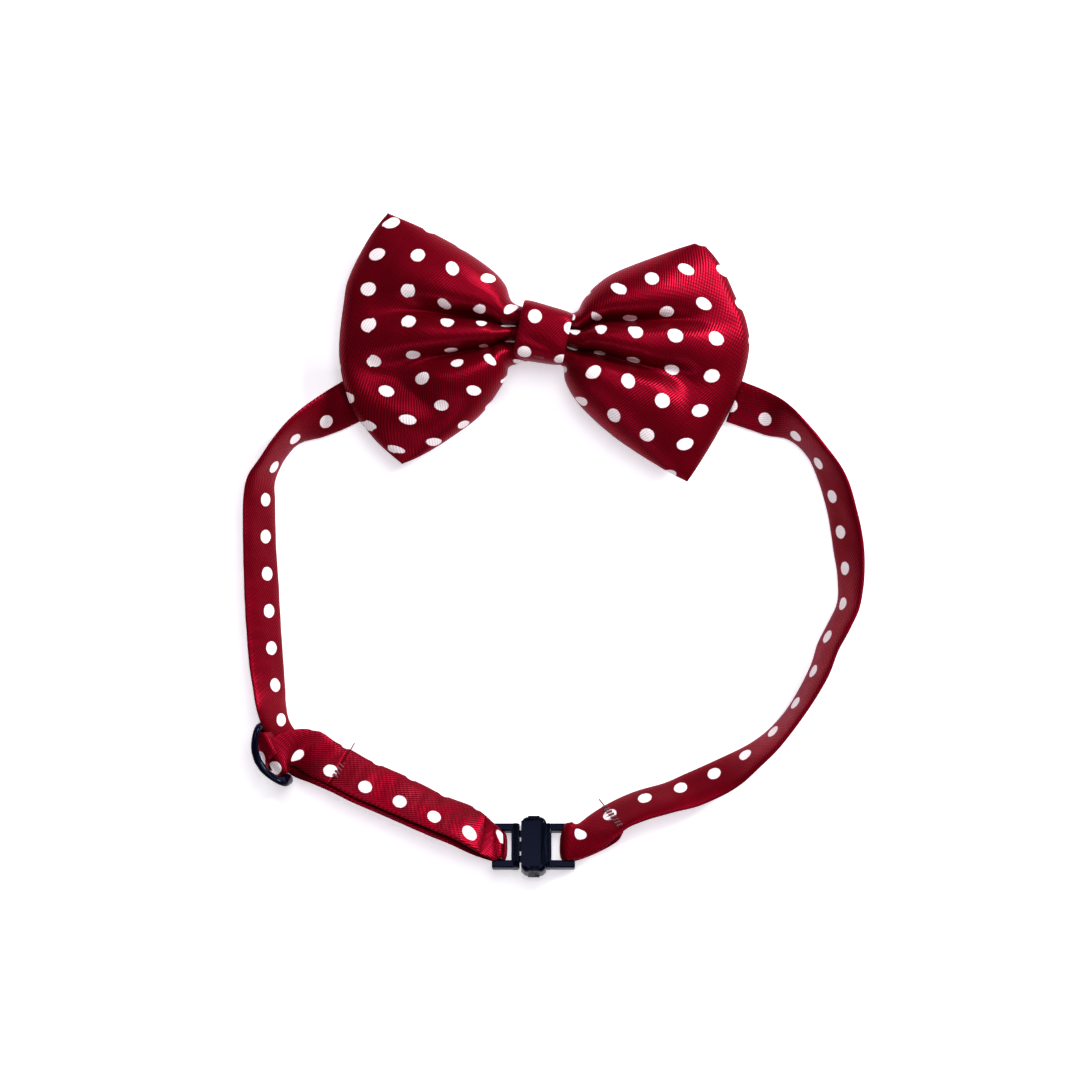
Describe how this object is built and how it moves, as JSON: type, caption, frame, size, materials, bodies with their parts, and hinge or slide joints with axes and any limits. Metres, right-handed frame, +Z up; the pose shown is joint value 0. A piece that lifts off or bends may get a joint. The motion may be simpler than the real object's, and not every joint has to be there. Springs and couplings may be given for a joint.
{
  "type": "bow tie",
  "caption": "Ready-tied satin bow tie with a stitched knot wrap and an adjustable neckband that closes with a small clip.",
  "frame": {"origin": "on the table, under the centre of the whole piece's bounding box", "axes": "+Z up off the table, +Y towards the bow, +X towards the bow's left wing as it is worn; it lies face up"},
  "size_m": [0.1516, 0.1611, 0.0176],
  "materials": {
    "satin": "satin weave with white dots",
    "interlining": "plain woven",
    "thread": "polyester sewing thread",
    "plastic": "moulded, glossy"
  },
  "bodies": {
    "bow": {"bow_front_panel": "satin", "bow_back_panel": "satin", "bow_interlining": "interlining", "gathering_thread": "thread", "knot_wrap": "satin", "knot_stitches": "thread", "neckband_centre_run": "satin", "neckband_right_run": "satin", "right_bartack": "thread", "clip_socket_half": "plastic"},
    "plug_side": {"clip_plug_half": "plastic", "neckband_left_run": "satin", "neckband_under_run": "satin"},
    "sewn_end": {"neckband_over_run": "satin", "neckband_left_end_fold": "satin", "left_bartack": "thread"},
    "slider": {"slider": "plastic"}
  },
  "joints": [
    {"name": "clip_release", "type": "slide", "parent": "bow", "child": "plug_side", "axis": [-1, 0, 0], "range_m": [0, 0.012], "deforming": ["neckband_left_run", "neckband_under_run"]},
    {"name": "adjuster_slide", "type": "slide", "parent": "plug_side", "child": "sewn_end", "axis": [0.92, -0.392, 0], "range_m": [0, 0.03], "deforming": ["neckband_over_run"]},
    {"name": "slider_tilt", "type": "hinge", "parent": "sewn_end", "child": "slider", "pos_m": [-0.0684, -0.0507, 0.0057], "axis": [-0.4226, 0.9063, 0], "range_deg": [-20, 20]}
  ]
}
